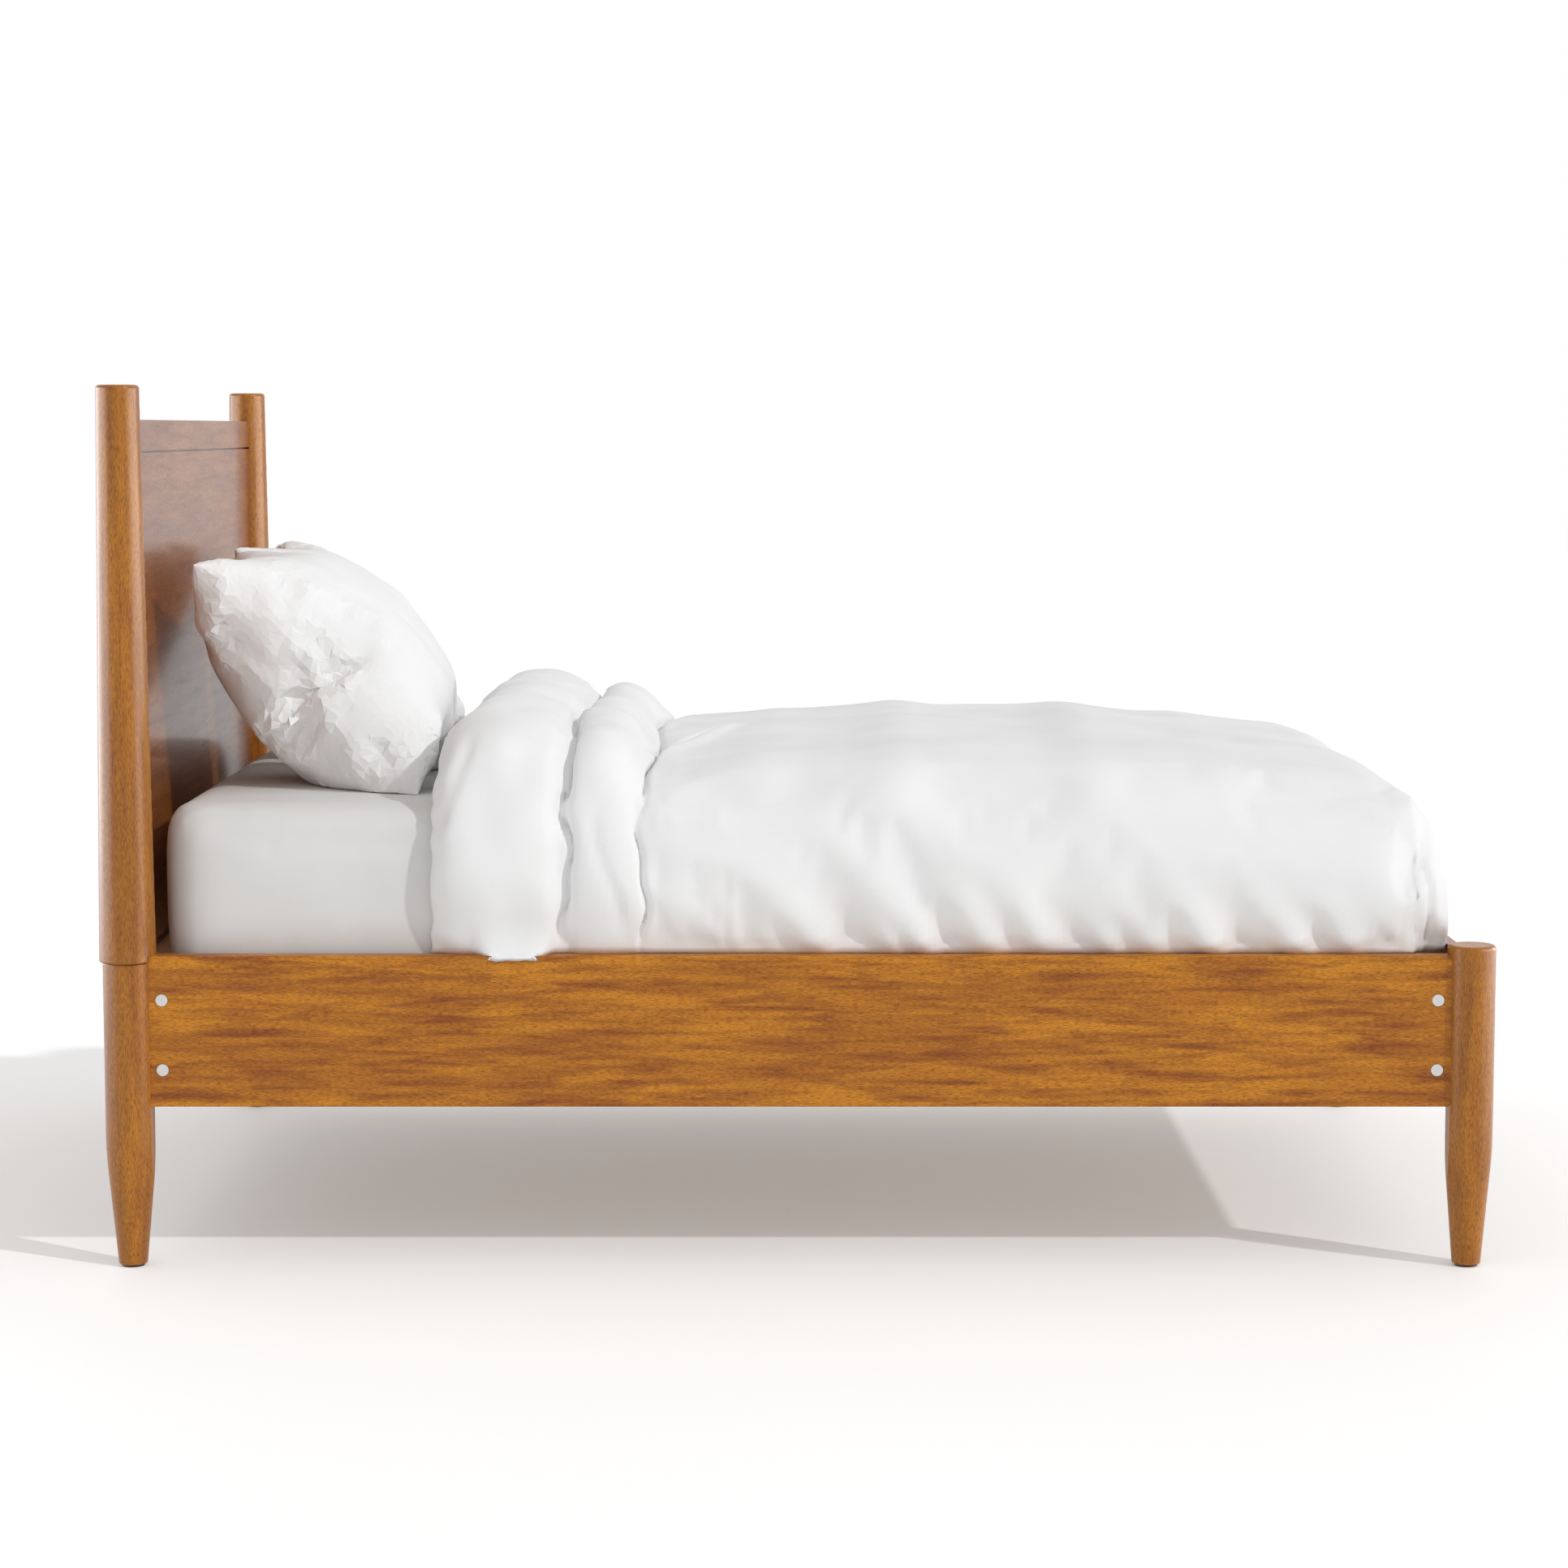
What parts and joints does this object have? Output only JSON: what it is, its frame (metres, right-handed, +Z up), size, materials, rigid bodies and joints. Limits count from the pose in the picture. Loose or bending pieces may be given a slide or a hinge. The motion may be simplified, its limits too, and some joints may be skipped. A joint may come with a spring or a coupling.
{
  "type": "wooden bed",
  "caption": "Stained wooden bed with round turned posts, flat headboard and low footboard, slatted deck, mattress, pillows and a turned-back duvet.",
  "frame": {"origin": "floor point under the middle of the bed's outer box", "axes": "+X from the headboard to the foot, +Y from the pictured side to the far side, +Z up"},
  "size_m": [2.0945, 1.3468, 1.3235],
  "materials": {
    "stained_wood": "satin",
    "plain_wood": "planed",
    "dowel_wood": "turned",
    "zinc_steel": "zinc plated",
    "cap_plastic": "satin moulded",
    "glide_nylon": "moulded",
    "sheet_cotton": "smooth woven",
    "bedding_cotton": "soft woven"
  },
  "bodies": {
    "frame": {"head_post_near": "stained_wood", "head_post_far": "stained_wood", "head_leg_near": "stained_wood", "head_leg_far": "stained_wood", "foot_post_near": "stained_wood", "foot_post_far": "stained_wood", "headboard_top_rail": "stained_wood", "headboard_panel": "stained_wood", "headboard_base_rail": "stained_wood", "head_rail": "stained_wood", "footboard": "stained_wood", "side_rail_near": "stained_wood", "side_rail_far": "stained_wood", "centre_beam": "plain_wood", "slat_ledger_near": "plain_wood", "slat_ledger_far": "plain_wood", "slat_01": "plain_wood", "slat_02": "plain_wood", "slat_03": "plain_wood", "slat_04": "plain_wood", "slat_05": "plain_wood", "slat_06": "plain_wood", "slat_07": "plain_wood", "slat_08": "plain_wood", "slat_09": "plain_wood", "slat_10": "plain_wood", "slat_11": "plain_wood", "slat_12": "plain_wood", "slat_13": "plain_wood", "rail_bolts": "zinc_steel", "cross_nuts": "zinc_steel", "post_studs": "zinc_steel", "ledger_screws": "zinc_steel", "slat_screws": "zinc_steel", "rail_dowels": "dowel_wood", "bolt_caps": "cap_plastic", "floor_glides": "glide_nylon"},
    "mattress": {"mattress": "sheet_cotton"},
    "duvet": {"duvet": "bedding_cotton"},
    "pillow_near": {"pillow_near": "bedding_cotton"},
    "pillow_far": {"pillow_far": "bedding_cotton"}
  },
  "joints": [
    {"name": "mattress_lift", "type": "slide", "parent": "frame", "child": "mattress", "axis": [0, 0, 1], "range_m": [0, 0.2]},
    {"name": "duvet_lift", "type": "slide", "parent": "mattress", "child": "duvet", "axis": [0, 0, 1], "range_m": [0, 0.35]},
    {"name": "pillow_near_lift", "type": "slide", "parent": "mattress", "child": "pillow_near", "axis": [0, 0, 1], "range_m": [0, 0.45]},
    {"name": "pillow_far_lift", "type": "slide", "parent": "mattress", "child": "pillow_far", "axis": [0, 0, 1], "range_m": [0, 0.45]}
  ]
}
